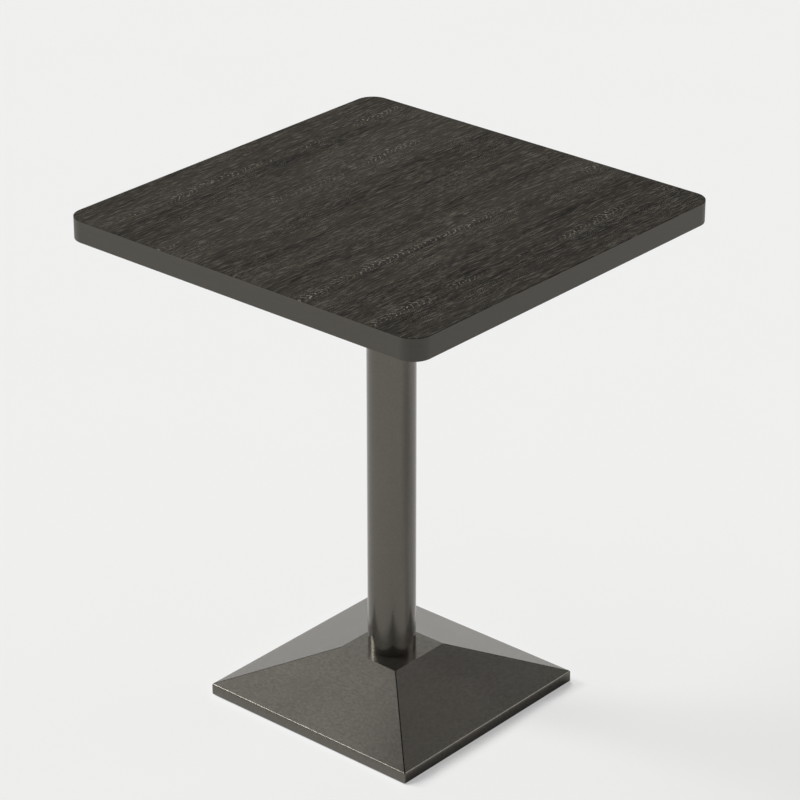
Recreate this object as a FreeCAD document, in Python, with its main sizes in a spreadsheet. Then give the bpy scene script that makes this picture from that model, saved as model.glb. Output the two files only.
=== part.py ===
"""Square pedestal cafe table: laminated top, cast spider, round column and weighted base.

Millimetres. +Z is up and the origin is on the floor under the middle of the table.
The base's sides lie along X and Y, like the top's.
"""
import FreeCAD, Part

import math
import os

import Sketcher

App = FreeCAD
Vector = App.Vector

# ---------------------------------------------------------------- driving dimensions
SIZES = {
    # table top
    "top_height": 740.0,
    "top_side": 610.0,
    "top_corner": 27.5,
    "top_thick": 31.8,
    "laminate_thick": 1.0,
    "laminate_break": 0.4,
    "backer_thick": 0.8,
    "band_thick": 3.0,
    "band_round": 2.4,
    # screws between the spider and the top, M6
    "inner_ring": 128.0,
    "outer_ring": 174.0,
    "insert_dia": 10.0,
    "insert_long": 14.0,
    "screw_dia": 6.0,
    "screw_long": 20.0,
    "screw_head_dia": 10.5,
    "screw_head_high": 3.3,
    "screw_head_top_dia": 6.8,
    "screw_head_shoulder_dia": 9.4,
    "screw_head_shoulder": 2.0,
    "screw_socket": 4.0,
    "screw_socket_deep": 2.0,
    "screw_washer_dia": 12.5,
    "screw_washer_thick": 1.6,
    "screw_washer_hole": 6.4,
    "screw_hole": 7.0,
    # spider
    "hub_dia": 110.0,
    "hub_thick": 10.0,
    "hub_recess_dia": 40.0,
    "hub_recess_deep": 14.0,
    "hub_web": 12.0,
    "spigot_deep": 35.0,
    "spigot_wall": 6.0,
    "spigot_play": 0.1,
    "arm_thick": 7.0,
    "arm_root": 24.0,
    "arm_root_wide": 46.0,
    "arm_tip_wide": 30.0,
    "arm_reach": 190.0,
    "arm_rib_start": 38.0,
    "arm_rib_flat": 50.0,
    "arm_rib_end": 110.0,
    "arm_rib_deep": 14.0,
    "arm_rib_thick": 8.0,
    # column
    "column_dia": 68.3,
    "column_wall": 2.0,
    "disc_thick": 6.0,
    "disc_play": 0.25,
    # tie rod, M12
    "rod_dia": 12.0,
    "rod_hole": 13.5,
    "rod_top_gap": 0.7,
    "rod_tail": 3.0,
    "nut_wide": 18.0,
    "nut_high": 10.0,
    "nut_face_dia": 17.3,
    "nut_bevel_dia": 22.3,
    "nut_bevel_high": 1.44,
    "washer_dia": 24.0,
    "washer_hole": 13.0,
    "washer_thick": 2.5,
    "spring_dia": 21.0,
    "spring_thick": 3.0,
    "spring_gap": 12.0,
    # base cover
    "cover_side": 362.0,
    "cover_wall": 2.0,
    "cover_round": 1.5,
    "hip_round": 4.5,
    "rim_bottom": 2.0,
    "rim_top": 17.6,
    "flat_side": 102.4,
    "flat_height": 70.5,
    "cover_pad_thick": 2.0,
    "cover_pad_start": 105.0,
    "cover_pad_end": 135.0,
    "cover_pad_wide": 14.0,
    # ballast casting
    "plate_side": 338.0,
    "plate_corner": 14.0,
    "plate_bottom": 8.0,
    "plate_thick": 10.0,
    "plate_round": 1.5,
    "boss_dia": 90.0,
    "nut_pocket_dia": 44.0,
    "nut_pocket_deep": 18.0,
    "rib_thick": 14.0,
    "rib_start": 37.0,
    "rib_flat": 47.0,
    "rib_end": 160.0,
    # levelling feet, M8 with a pitch of 1.25
    "foot_spacing": 280.0,
    "foot_boss_dia": 24.0,
    "foot_boss_top": 25.0,
    "foot_recess_dia": 22.0,
    "foot_recess_deep": 4.5,
    "stud_dia": 8.0,
    "stud_play": 0.05,
    "stud_top": 29.5,
    "stud_bevel": 1.0,
    "stud_collar_wide": 13.0,
    "stud_collar_low": 6.9,
    "stud_collar_high": 4.5,
    "stud_head_dia": 12.4,
    "stud_head_low": 1.5,
    "stud_head_high": 2.4,
    "pad_dia": 34.0,
    "pad_high": 6.4,
    "pad_edge_high": 4.0,
    "pad_shoulder_dia": 22.0,
    "pad_lip_hole": 8.8,
    "pad_foot_round": 0.8,
}

# ---------------------------------------------------------------- levels and lines of the sheet
TOP_UNDERSIDE = "(dims.top_height - dims.top_thick)"
CORE_BOTTOM = "(dims.top_height - dims.top_thick + dims.backer_thick)"
CORE_SIDE = "(dims.top_side - 2 * dims.band_thick)"
CORE_CORNER = "(dims.top_corner - dims.band_thick)"
HUB_BOTTOM = f"({TOP_UNDERSIDE} - dims.hub_thick)"
ARM_BOTTOM = f"({TOP_UNDERSIDE} - dims.arm_thick)"
RECESS_FLOOR = f"({TOP_UNDERSIDE} - dims.hub_recess_deep)"
COLUMN_BORE = "(dims.column_dia - 2 * dims.column_wall)"
POCKET_ROOF = "(dims.plate_bottom + dims.nut_pocket_deep)"
PLATE_TOP = "(dims.plate_bottom + dims.plate_thick)"
BOSS_TOP = "(dims.flat_height - dims.cover_wall)"
COVER_SLOPE = "((dims.flat_height - dims.rim_top) / ((dims.cover_side - dims.flat_side) / 2))"
SLANT = f"sqrt(1 + {COVER_SLOPE} ^ 2)"


def under_cover(reach, gap):
    """The height under the cover's slope, at a reach from the middle and a gap below its face."""
    rise = f"{COVER_SLOPE} * (dims.cover_side / 2 - {reach})"
    return f"(dims.rim_top + {rise} - {gap} * {SLANT})"


# ---------------------------------------------------------------- document and small tools
def new_document():
    doc = App.newDocument("cafe_table")
    sheet = doc.addObject("Spreadsheet::Sheet", "dims")
    for row, (name, size) in enumerate(SIZES.items(), start=1):
        sheet.set(f"A{row}", name)
        sheet.set(f"B{row}", str(size))
        sheet.setAlias(f"B{row}", name)
    doc.recompute()
    return doc


def size_of(doc, expression):
    """The number that an expression of the sheet gives now."""
    return float(doc.dims.evalExpression(expression))


def origin_feature(body, role):
    return next(item for item in body.Origin.OriginFeatures if item.Role == role)


def new_body(doc, name):
    body = doc.addObject("PartDesign::Body", name)
    body.Label = name
    return body


def new_sketch(body, name, role="XY_Plane", height="0"):
    """A sketch on one of the body's own planes, raised along the plane's normal."""
    sketch = body.newObject("Sketcher::SketchObject", f"{body.Name}_{name}")
    sketch.AttachmentSupport = (origin_feature(body, role), [""])
    sketch.MapMode = "FlatFace"
    if height != "0":
        sketch.setExpression("AttachmentOffset.Base.z", height)
    return sketch


def bind_point(sketch, edge, end, across, along):
    """Hold one end of an edge, or a circle's centre, at two expressions of the sheet."""
    for kind, expression, axis in (("DistanceX", across, -2), ("DistanceY", along, -1)):
        if expression == "0":
            sketch.addConstraint(Sketcher.Constraint("PointOnObject", edge, end, axis))
            continue
        value = size_of(sketch.Document, expression)
        index = sketch.addConstraint(Sketcher.Constraint(kind, -1, 1, edge, end, value))
        sketch.setExpression(f"Constraints[{index}]", expression)


def draw_outline(sketch, corners):
    """A closed outline of straight edges, with each corner bound to the sheet."""
    doc = sketch.Document
    points = [Vector(size_of(doc, across), size_of(doc, along), 0) for across, along in corners]
    count = len(points)
    for i in range(count):
        sketch.addGeometry(Part.LineSegment(points[i], points[(i + 1) % count]))
    for i in range(count):
        sketch.addConstraint(Sketcher.Constraint("Coincident", i, 2, (i + 1) % count, 1))
    for i, (across, along) in enumerate(corners):
        bind_point(sketch, i, 1, across, along)


def draw_square(sketch, side):
    half = f"{side} / 2"
    low = f"-{side} / 2"
    draw_outline(sketch, [(low, low), (half, low), (half, half), (low, half)])


def draw_circle(sketch, diameter, across="0", along="0"):
    doc = sketch.Document
    centre = Vector(size_of(doc, across), size_of(doc, along), 0)
    radius = size_of(doc, f"{diameter} / 2")
    circle = sketch.addGeometry(Part.Circle(centre, Vector(0, 0, 1), radius))
    bind_point(sketch, circle, 3, across, along)
    index = sketch.addConstraint(Sketcher.Constraint("Diameter", circle, 2 * radius))
    sketch.setExpression(f"Constraints[{index}]", diameter)


def draw_hexagon(sketch, width):
    """A regular hexagon, given by the width across its flats."""
    reach = f"{width} / sqrt(3)"
    corners = []
    for step in range(6):
        angle = 60 * step
        corners.append((f"{reach} * cos({angle} deg)", f"{reach} * sin({angle} deg)"))
    corners[0] = (reach, "0")
    corners[3] = (f"-{reach}", "0")
    draw_outline(sketch, corners)


def draw_rounded_square(sketch, side, corner):
    """Four straight sides joined by four tangent arcs."""
    doc = sketch.Document
    half = size_of(doc, f"{side} / 2")
    radius = size_of(doc, corner)
    inner = half - radius
    for step in range(4):
        turn = App.Rotation(Vector(0, 0, 1), 90 * step)
        start = turn.multVec(Vector(-inner, -half, 0))
        end = turn.multVec(Vector(inner, -half, 0))
        middle = turn.multVec(Vector(inner, -inner, 0))
        from_angle = math.radians(90 * step - 90)
        circle = Part.Circle(middle, Vector(0, 0, 1), radius)
        sketch.addGeometry(Part.LineSegment(start, end))
        sketch.addGeometry(Part.ArcOfCircle(circle, from_angle, from_angle + math.pi / 2))
    for step in range(4):
        line, arc, next_line = 2 * step, 2 * step + 1, (2 * step + 2) % 8
        sketch.addConstraint(Sketcher.Constraint("Tangent", line, 2, arc, 1))
        sketch.addConstraint(Sketcher.Constraint("Tangent", arc, 2, next_line, 1))
        sketch.addConstraint(Sketcher.Constraint("Vertical" if step % 2 else "Horizontal", line))
        if step:
            sketch.addConstraint(Sketcher.Constraint("Equal", 1, arc))
    index = sketch.addConstraint(Sketcher.Constraint("Radius", 1, radius))
    sketch.setExpression(f"Constraints[{index}]", corner)
    sides = (("DistanceY", "-"), ("DistanceX", ""), ("DistanceY", ""), ("DistanceX", "-"))
    for step, (kind, sign) in enumerate(sides):
        line = 2 * step
        expression = f"{sign}{side} / 2"
        value = size_of(doc, expression)
        index = sketch.addConstraint(Sketcher.Constraint(kind, -1, 1, line, 1, value))
        sketch.setExpression(f"Constraints[{index}]", expression)


def pad(body, sketch, length, midplane=False, down=False):
    feature = body.newObject("PartDesign::Pad", f"{sketch.Name}_pad")
    feature.Profile = sketch
    feature.setExpression("Length", length)
    if midplane:
        feature.SideType = "Symmetric"
    feature.Reversed = down
    body.Document.recompute()
    return feature


def revolve(body, sketch, angle="360"):
    feature = body.newObject("PartDesign::Revolution", f"{sketch.Name}_turned")
    feature.Profile = sketch
    feature.ReferenceAxis = (sketch, ["V_Axis"])
    feature.setExpression("Angle", angle)
    body.Document.recompute()
    return feature


def cut(body, kind, sketch, settings):
    """A Pocket or Groove, which has to take something away."""
    before = body.Shape.Volume
    feature = body.newObject(kind, f"{sketch.Name}_cut")
    feature.Profile = sketch
    for name, value in settings.items():
        if isinstance(value, str) and name in ("Length", "Angle"):
            feature.setExpression(name, value)
        else:
            setattr(feature, name, value)
    body.Document.recompute()
    if not body.Shape.Volume < before:
        raise ValueError(f"{feature.Name} takes nothing away")
    return feature


def pocket(body, sketch, length, up=False):
    """Cuts down from the sketch, or up from it."""
    return cut(body, "PartDesign::Pocket", sketch, {"Length": length, "Reversed": up})


def groove(body, sketch):
    axis = (sketch, ["V_Axis"])
    return cut(body, "PartDesign::Groove", sketch, {"ReferenceAxis": axis, "Angle": "360"})


def repeat_round(body, features, count=4):
    pattern = body.newObject("PartDesign::PolarPattern", f"{features[0].Name}_round")
    pattern.Originals = features
    pattern.Axis = (origin_feature(body, "Z_Axis"), [""])
    pattern.Angle = 360
    pattern.Occurrences = count
    body.Tip = pattern
    body.Document.recompute()
    return pattern


def edge_names(shape, wanted):
    """The names of the edges that a test picks."""
    return [f"Edge{i}" for i, edge in enumerate(shape.Edges, start=1) if wanted(edge)]


def fillet(body, base, wanted, radius):
    names = edge_names(base.Shape, wanted)
    if not names:
        raise ValueError(f"no edge of {base.Name} to round")
    feature = body.newObject("PartDesign::Fillet", f"{base.Name}_round_edge")
    feature.Base = (base, names)
    feature.setExpression("Radius", radius)
    body.Tip = feature
    body.Document.recompute()
    return feature


def same(a, b):
    return abs(a - b) < 1e-4


def spans(low, high):
    """A test for edges that run from one height to another."""
    return lambda edge: same(edge.BoundBox.ZMin, low) and same(edge.BoundBox.ZMax, high)


def at_height(height):
    """A test for edges that lie flat at one height."""
    return spans(height, height)


def reach_of(edge):
    """How far out an edge gets, along X or Y."""
    box = edge.BoundBox
    return max(abs(box.XMin), abs(box.XMax), abs(box.YMin), abs(box.YMax))


def group(doc, name, piece, places):
    """A group of separate copies of one piece. Each place is a ring radius and an angle in degrees."""
    copies = []
    for i, (reach, angle) in enumerate(places, start=1):
        copy = doc.addObject("App::Link", f"{name}_{i}")
        copy.LinkedObject = piece
        copy.Placement = App.Placement(Vector(0, 0, 0), App.Rotation(Vector(0, 0, 1), angle))
        copy.setExpression("Placement.Base.x", f"{reach} * cos({angle} deg)")
        copy.setExpression("Placement.Base.y", f"{reach} * sin({angle} deg)")
        copies.append(copy)
    whole = doc.addObject("Part::Compound", name)
    whole.Label = name
    whole.Links = copies
    doc.recompute()
    return whole


# ---------------------------------------------------------------- table top
def slab(doc, name, side, corner, bottom, thick):
    """A flat rounded square board."""
    body = new_body(doc, name)
    sketch = new_sketch(body, "plan", height=bottom)
    draw_rounded_square(sketch, side, corner)
    return body, pad(body, sketch, thick)


def screw_rings(body, name, height, length, diameter):
    """Eight holes on two rings, towards the corners of the top."""
    sketch = new_sketch(body, name, height=height)
    for ring in ("dims.inner_ring", "dims.outer_ring"):
        draw_circle(sketch, diameter, f"{ring} * cos(45 deg)", f"{ring} * sin(45 deg)")
    return repeat_round(body, [pocket(body, sketch, length, up=True)])


def make_top_laminate(doc):
    bottom = "(dims.top_height - dims.laminate_thick)"
    thick = "dims.laminate_thick"
    body, board = slab(doc, "top_laminate", "dims.top_side", "dims.top_corner", bottom, thick)
    fillet(body, board, at_height(size_of(doc, "dims.top_height")), "dims.laminate_break")
    return body


def make_top_core(doc):
    thick = "(dims.top_thick - dims.laminate_thick - dims.backer_thick)"
    body, _ = slab(doc, "top_core", CORE_SIDE, CORE_CORNER, CORE_BOTTOM, thick)
    screw_rings(body, "inserts", CORE_BOTTOM, "dims.insert_long - dims.backer_thick", "dims.insert_dia")
    return body


def make_top_backer(doc):
    body, _ = slab(doc, "top_backer", CORE_SIDE, CORE_CORNER, TOP_UNDERSIDE, "dims.backer_thick")
    screw_rings(body, "inserts", TOP_UNDERSIDE, "dims.backer_thick", "dims.insert_dia")
    return body


def make_edge_band(doc):
    """One band round the edge of the board, under the laminate, with its lower outer edge rounded."""
    thick = "(dims.top_thick - dims.laminate_thick)"
    body, board = slab(doc, "edge_band", "dims.top_side", "dims.top_corner", TOP_UNDERSIDE, thick)
    fillet(body, board, at_height(size_of(doc, TOP_UNDERSIDE)), "dims.band_round")
    inside = new_sketch(body, "inside", height=TOP_UNDERSIDE)
    draw_rounded_square(inside, CORE_SIDE, CORE_CORNER)
    pocket(body, inside, thick, up=True)
    return body


# ---------------------------------------------------------------- spider and its screws
def make_insert_nut(doc):
    """A threaded sleeve, open at its lower end."""
    body = new_body(doc, "insert_nut")
    sketch = new_sketch(body, "section", "XZ_Plane")
    top = f"({TOP_UNDERSIDE} + dims.insert_long)"
    draw_outline(sketch, [
        ("dims.screw_dia / 2", TOP_UNDERSIDE),
        ("dims.insert_dia / 2", TOP_UNDERSIDE),
        ("dims.insert_dia / 2", top),
        ("dims.screw_dia / 2", top),
    ])
    revolve(body, sketch)
    return body


def make_spider_screw(doc):
    """A button head socket screw that points up."""
    body = new_body(doc, "spider_screw")
    sketch = new_sketch(body, "section", "XZ_Plane")
    seat = f"({ARM_BOTTOM} - dims.screw_washer_thick)"
    head = f"({seat} - dims.screw_head_high)"
    draw_outline(sketch, [
        ("0", head),
        ("dims.screw_head_top_dia / 2", head),
        ("dims.screw_head_shoulder_dia / 2", f"({seat} - dims.screw_head_shoulder)"),
        ("dims.screw_head_dia / 2", seat),
        ("dims.screw_dia / 2", seat),
        ("dims.screw_dia / 2", f"({seat} + dims.screw_long)"),
        ("0", f"({seat} + dims.screw_long)"),
    ])
    revolve(body, sketch)
    socket = new_sketch(body, "socket", height=head)
    draw_hexagon(socket, "dims.screw_socket")
    pocket(body, socket, "dims.screw_socket_deep", up=True)
    return body


def ring(doc, name, outer, hole, bottom, thick, angle="360"):
    """A flat ring, whole or with a gap."""
    body = new_body(doc, name)
    sketch = new_sketch(body, "section", "XZ_Plane")
    top = f"({bottom} + {thick})"
    draw_outline(sketch, [
        (f"{hole} / 2", bottom),
        (f"{outer} / 2", bottom),
        (f"{outer} / 2", top),
        (f"{hole} / 2", top),
    ])
    revolve(body, sketch, angle)
    return body


def spider_hub(body):
    """The hub: a flange under the top, a recess for the nut, and a spigot inside the column."""
    spigot = f"({COLUMN_BORE} / 2 - dims.spigot_play)"
    spigot_bore = f"({spigot} - dims.spigot_wall)"
    web_bottom = f"({RECESS_FLOOR} - dims.hub_web)"
    spigot_bottom = f"({TOP_UNDERSIDE} - dims.spigot_deep)"
    sketch = new_sketch(body, "hub", "XZ_Plane")
    draw_outline(sketch, [
        ("dims.rod_hole / 2", web_bottom),
        (spigot_bore, web_bottom),
        (spigot_bore, spigot_bottom),
        (spigot, spigot_bottom),
        (spigot, HUB_BOTTOM),
        ("dims.hub_dia / 2", HUB_BOTTOM),
        ("dims.hub_dia / 2", TOP_UNDERSIDE),
        ("dims.hub_recess_dia / 2", TOP_UNDERSIDE),
        ("dims.hub_recess_dia / 2", RECESS_FLOOR),
        ("dims.rod_hole / 2", RECESS_FLOOR),
    ])
    return revolve(body, sketch)


def spider_arm(body):
    """One arm along +X: a tapered bar with a round tip, and a rib under its root."""
    root = "dims.arm_root"
    tip = "(dims.arm_reach - dims.arm_tip_wide / 2)"
    plan = new_sketch(body, "arm_plan", height=ARM_BOTTOM)
    draw_outline(plan, [
        (root, "-dims.arm_root_wide / 2"),
        (tip, "-dims.arm_tip_wide / 2"),
        (tip, "dims.arm_tip_wide / 2"),
        (root, "dims.arm_root_wide / 2"),
    ])
    bar = pad(body, plan, "dims.arm_thick")
    end = new_sketch(body, "arm_tip", height=ARM_BOTTOM)
    draw_circle(end, "dims.arm_tip_wide", tip)
    tip_pad = pad(body, end, "dims.arm_thick")
    side = new_sketch(body, "arm_rib", "XZ_Plane")
    draw_outline(side, [
        ("dims.arm_rib_start", f"({ARM_BOTTOM} - dims.arm_rib_deep)"),
        ("dims.arm_rib_flat", f"({ARM_BOTTOM} - dims.arm_rib_deep)"),
        ("dims.arm_rib_end", ARM_BOTTOM),
        ("dims.arm_rib_start", ARM_BOTTOM),
    ])
    rib = pad(body, side, "dims.arm_rib_thick", midplane=True)
    holes = new_sketch(body, "arm_holes", height=ARM_BOTTOM)
    for ring_radius in ("dims.inner_ring", "dims.outer_ring"):
        draw_circle(holes, "dims.screw_hole", ring_radius)
    return [bar, tip_pad, rib, pocket(body, holes, "dims.arm_thick", up=True)]


def make_top_spider(doc):
    """Four arms, turned towards the corners of the top."""
    body = new_body(doc, "top_spider")
    spider_hub(body)
    repeat_round(body, spider_arm(body))
    body.Placement = App.Placement(Vector(0, 0, 0), App.Rotation(Vector(0, 0, 1), 45))
    return body


def screw_places():
    """The eight screws: two rings, one of each on every arm."""
    rings = ("dims.inner_ring", "dims.outer_ring")
    return [(ring_radius, 45 + 90 * arm) for arm in range(4) for ring_radius in rings]


def make_spider_fixings(doc):
    washer = ring(doc, "spider_washer", "dims.screw_washer_dia", "dims.screw_washer_hole",
                  f"({ARM_BOTTOM} - dims.screw_washer_thick)", "dims.screw_washer_thick")
    return [
        group(doc, "insert_nuts", make_insert_nut(doc), screw_places()),
        group(doc, "spider_screws", make_spider_screw(doc), screw_places()),
        group(doc, "spider_washers", washer, screw_places()),
    ]


# ---------------------------------------------------------------- column and tie rod
def make_column(doc):
    tube = ring(doc, "column_tube", "dims.column_dia", COLUMN_BORE, "dims.flat_height",
                f"({HUB_BOTTOM} - dims.flat_height)")
    disc = ring(doc, "column_foot_disc", f"({COLUMN_BORE} - 2 * dims.disc_play)", "dims.rod_hole",
                "dims.flat_height", "dims.disc_thick")
    return [tube, disc]


def make_nut(doc, name, bottom):
    """A hexagon nut whose upper corners are bevelled."""
    body = new_body(doc, name)
    plan = new_sketch(body, "plan", height=bottom)
    draw_hexagon(plan, "dims.nut_wide")
    pad(body, plan, "dims.nut_high")
    hole = new_sketch(body, "hole", height=bottom)
    draw_circle(hole, "dims.rod_dia")
    pocket(body, hole, "dims.nut_high", up=True)
    top = f"({bottom} + dims.nut_high)"
    bevel = new_sketch(body, "bevel", "XZ_Plane")
    draw_outline(bevel, [
        ("dims.nut_face_dia / 2", top),
        ("dims.nut_bevel_dia / 2", f"({top} - dims.nut_bevel_high)"),
        ("dims.nut_bevel_dia / 2", top),
    ])
    groove(body, bevel)
    return body


def make_tie_rod(doc):
    body = new_body(doc, "tie_rod")
    bottom = f"({POCKET_ROOF} - dims.washer_thick - dims.spring_thick - dims.nut_high - dims.rod_tail)"
    sketch = new_sketch(body, "section", height=bottom)
    draw_circle(sketch, "dims.rod_dia")
    pad(body, sketch, f"({TOP_UNDERSIDE} - dims.rod_top_gap) - {bottom}")
    return body


def make_rod_fixings(doc):
    """The nuts and washers that draw the spider, the column and the base together."""
    under_washer = f"({POCKET_ROOF} - dims.washer_thick)"
    under_spring = f"({under_washer} - dims.spring_thick)"
    hole = "dims.washer_hole"
    return [
        ring(doc, "upper_washer", "dims.washer_dia", hole, RECESS_FLOOR, "dims.washer_thick"),
        make_nut(doc, "upper_nut", f"({RECESS_FLOOR} + dims.washer_thick)"),
        ring(doc, "lower_washer", "dims.washer_dia", hole, under_washer, "dims.washer_thick"),
        ring(doc, "lower_spring_washer", "dims.spring_dia", hole, under_spring, "dims.spring_thick",
             "360 - dims.spring_gap"),
        make_nut(doc, "lower_nut", f"({under_spring} - dims.nut_high)"),
    ]


# ---------------------------------------------------------------- base
def cover_folds(half, rim_top, flat_height):
    """A test for the cover's outer edges below the hips: round the rim and round the flat."""
    def wanted(edge):
        on_rim = same(reach_of(edge), half) and edge.BoundBox.ZMax > rim_top - 1
        return on_rim or at_height(flat_height)(edge)
    return wanted


def cover_slopes(body):
    """The four sloping faces above the rim, down from the flat."""
    slope = body.newObject("PartDesign::AdditiveWedge", "base_cover_slope")
    slope.AttachmentSupport = (origin_feature(body, "XZ_Plane"), [""])
    slope.MapMode = "FlatFace"
    for level, side, height in (("", "cover_side", "rim_top"), ("2", "flat_side", "flat_height")):
        for axis in "XZ":
            slope.setExpression(f"{axis}{level}min", f"-dims.{side} / 2")
            slope.setExpression(f"{axis}{level}max", f"dims.{side} / 2")
        slope.setExpression("Ymax" if level else "Ymin", f"dims.{height}")
    body.Document.recompute()
    return slope


def hollow_cover(body, solid):
    """Takes the inside out, through the open underside."""
    rim_bottom = size_of(body.Document, "dims.rim_bottom")
    underside = [f"Face{i}" for i, face in enumerate(solid.Shape.Faces, start=1)
                 if same(face.BoundBox.ZMax, rim_bottom)]
    shell = body.newObject("PartDesign::Thickness", "base_cover_shell")
    shell.Base = (solid, underside)
    shell.setExpression("Value", "dims.cover_wall")
    shell.Reversed = True
    body.Tip = shell
    body.Document.recompute()
    return shell


def make_base_cover(doc):
    """A folded and welded steel shell: a low upright rim, four sloping faces and a square flat."""
    body = new_body(doc, "base_cover")
    rim = new_sketch(body, "rim", height="dims.rim_bottom")
    draw_square(rim, "dims.cover_side")
    pad(body, rim, "dims.rim_top - dims.rim_bottom")
    shell = hollow_cover(body, cover_slopes(body))
    rim_top, flat_height = size_of(doc, "dims.rim_top"), size_of(doc, "dims.flat_height")
    half = size_of(doc, "dims.cover_side / 2")
    hips = fillet(body, shell, spans(rim_top, flat_height), "dims.hip_round")
    fillet(body, hips, cover_folds(half, rim_top, flat_height), "dims.cover_round")
    hole = new_sketch(body, "hole", height="dims.flat_height")
    draw_circle(hole, "dims.rod_hole")
    pocket(body, hole, "2 * dims.cover_wall")
    return body


def casting_plate(body):
    plan = new_sketch(body, "plate", height="dims.plate_bottom")
    draw_rounded_square(plan, "dims.plate_side", "dims.plate_corner")
    pad(body, plan, "dims.plate_thick")
    boss = new_sketch(body, "boss", height="dims.plate_bottom")
    draw_circle(boss, "dims.boss_dia")
    return pad(body, boss, f"{BOSS_TOP} - dims.plate_bottom")


def casting_rib(body):
    """One rib along +X, parallel to the cover, with room for a rubber pad on it."""
    gap = "(dims.cover_wall + dims.cover_pad_thick)"
    sketch = new_sketch(body, "rib", "XZ_Plane")
    draw_outline(sketch, [
        ("dims.rib_start", PLATE_TOP),
        ("dims.rib_end", PLATE_TOP),
        ("dims.rib_end", under_cover("dims.rib_end", gap)),
        ("dims.rib_flat", under_cover("dims.rib_flat", gap)),
        ("dims.rib_start", under_cover("dims.rib_flat", gap)),
    ])
    return repeat_round(body, [pad(body, sketch, "dims.rib_thick", midplane=True)])


def casting_foot_bosses(body):
    """Bosses above the plate for the feet, with a recess below for each foot's collar."""
    half = "dims.foot_spacing / 2"
    boss = new_sketch(body, "foot_boss", height=PLATE_TOP)
    draw_circle(boss, "dims.foot_boss_dia", half, half)
    raised = pad(body, boss, f"dims.foot_boss_top - {PLATE_TOP}")
    recess = new_sketch(body, "foot_recess", height="dims.plate_bottom")
    draw_circle(recess, "dims.foot_recess_dia", half, half)
    sunk = pocket(body, recess, "dims.foot_recess_deep", up=True)
    thread = new_sketch(body, "foot_thread", height="dims.plate_bottom")
    draw_circle(thread, "(dims.stud_dia + 2 * dims.stud_play)", half, half)
    hole = pocket(body, thread, "dims.foot_boss_top - dims.plate_bottom", up=True)
    return repeat_round(body, [raised, sunk, hole])


def make_ballast_casting(doc):
    body = new_body(doc, "ballast_casting")
    casting_plate(body)
    casting_rib(body)
    casting_foot_bosses(body)
    nut_pocket = new_sketch(body, "nut_pocket", height="dims.plate_bottom")
    draw_circle(nut_pocket, "dims.nut_pocket_dia")
    pocket(body, nut_pocket, "dims.nut_pocket_deep", up=True)
    hole = new_sketch(body, "rod_hole", height="dims.plate_bottom")
    draw_circle(hole, "dims.rod_hole")
    bored = pocket(body, hole, f"{BOSS_TOP} - dims.plate_bottom", up=True)
    half = size_of(doc, "dims.plate_side / 2")
    low = at_height(size_of(doc, "dims.plate_bottom"))
    fillet(body, bored, lambda edge: low(edge) and reach_of(edge) > half - 1e-3, "dims.plate_round")
    return body


def make_cover_pads(doc):
    """Rubber pads on the casting's ribs, which stop the cover from ringing."""
    body = new_body(doc, "cover_pad")
    sketch = new_sketch(body, "side", "XZ_Plane")
    low_gap = "(dims.cover_wall + dims.cover_pad_thick)"
    start, end = "dims.cover_pad_start", "dims.cover_pad_end"
    draw_outline(sketch, [
        (start, under_cover(start, low_gap)),
        (end, under_cover(end, low_gap)),
        (end, under_cover(end, "dims.cover_wall")),
        (start, under_cover(start, "dims.cover_wall")),
    ])
    pad(body, sketch, "dims.cover_pad_wide", midplane=True)
    return group(doc, "cover_pads", body, [("0", 90 * side) for side in range(4)])


# ---------------------------------------------------------------- levelling feet
def make_foot_pad(doc, name):
    """A moulded foot with a socket that holds the stud's head and lets it turn."""
    body = new_body(doc, name)
    socket_dia = "(dims.stud_head_dia + 2 * dims.stud_play)"
    socket_roof = "(dims.stud_head_low + dims.stud_head_high + dims.stud_play)"
    socket_floor = "(dims.stud_head_low - dims.stud_play)"
    sketch = new_sketch(body, "section", "XZ_Plane")
    draw_outline(sketch, [
        ("0", "0"),
        ("dims.pad_dia / 2", "0"),
        ("dims.pad_dia / 2", "dims.pad_edge_high"),
        ("dims.pad_shoulder_dia / 2", "dims.pad_high"),
        ("dims.pad_lip_hole / 2", "dims.pad_high"),
        ("dims.pad_lip_hole / 2", socket_roof),
        (f"{socket_dia} / 2", socket_roof),
        (f"{socket_dia} / 2", socket_floor),
        ("0", socket_floor),
    ])
    solid = revolve(body, sketch)
    rim = size_of(doc, "dims.pad_dia / 2")
    low = at_height(0)
    fillet(body, solid, lambda edge: low(edge) and same(edge.BoundBox.XMax, rim), "dims.pad_foot_round")
    return body


def make_foot_stud(doc, name):
    """A steel stud: a flat head in the foot, a hexagon collar for a spanner, and the thread."""
    body = new_body(doc, name)
    head_top = "(dims.stud_head_low + dims.stud_head_high)"
    sketch = new_sketch(body, "section", "XZ_Plane")
    draw_outline(sketch, [
        ("0", "dims.stud_head_low"),
        ("dims.stud_head_dia / 2", "dims.stud_head_low"),
        ("dims.stud_head_dia / 2", head_top),
        ("dims.stud_dia / 2", head_top),
        ("dims.stud_dia / 2", "(dims.stud_top - dims.stud_bevel)"),
        ("(dims.stud_dia / 2 - dims.stud_bevel)", "dims.stud_top"),
        ("0", "dims.stud_top"),
    ])
    revolve(body, sketch)
    collar = new_sketch(body, "collar", height="dims.stud_collar_low")
    draw_hexagon(collar, "dims.stud_collar_wide")
    pad(body, collar, "dims.stud_collar_high")
    return body


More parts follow.
